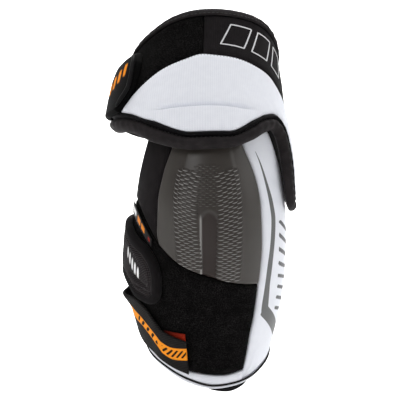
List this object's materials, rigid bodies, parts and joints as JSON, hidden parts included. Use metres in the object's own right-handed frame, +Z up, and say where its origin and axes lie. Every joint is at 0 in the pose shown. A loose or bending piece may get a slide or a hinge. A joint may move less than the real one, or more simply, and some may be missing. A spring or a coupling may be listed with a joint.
{
  "type": "hockey elbow pad",
  "caption": "Worn ice hockey elbow pad: bent tube open at the back, with a hard elbow cap, padded panels, straps around the arm, and a floating bicep guard over its top.",
  "frame": {"origin": "on the axis of the arm, at the elbow", "axes": "+Z up the arm, -Y out through the elbow cap, +X towards the white side panel"},
  "size_m": [0.1561, 0.1516, 0.3101],
  "materials": {
    "foam_cloth": "brushed nylon over foam",
    "cap_plastic": "moulded, satin, with a scale texture",
    "knit_cloth": "fine knit",
    "loop_cloth": "brushed loop pile",
    "white_knit": "fine spacer knit over foam",
    "white_leather": "smooth synthetic leather",
    "binding_cloth": "padded stretch binding",
    "webbing": "ribbed elastic",
    "strap_rubber": "moulded, matt",
    "hook_tape": "hook tape"
  },
  "bodies": {
    "root": {"body_liner": "foam_cloth", "elbow_cap": "cap_plastic", "side_panel": "knit_cloth", "loop_panel": "loop_cloth", "white_panel": "white_leather", "wrist_panel": "white_leather", "hem_band": "white_leather", "cap_label": "knit_cloth", "elbow_strap": "webbing", "elbow_strap_pad": "strap_rubber", "forearm_strap": "webbing", "forearm_strap_hook": "hook_tape", "joining_gusset": "webbing", "guard_liner": "foam_cloth", "guard_white_panel": "white_knit", "guard_loop_panel": "loop_cloth", "guard_knit_panel": "knit_cloth", "guard_top_binding": "binding_cloth", "guard_edge_binding": "binding_cloth", "guard_strap": "webbing", "guard_strap_tab": "strap_rubber"}
  },
  "joints": []
}
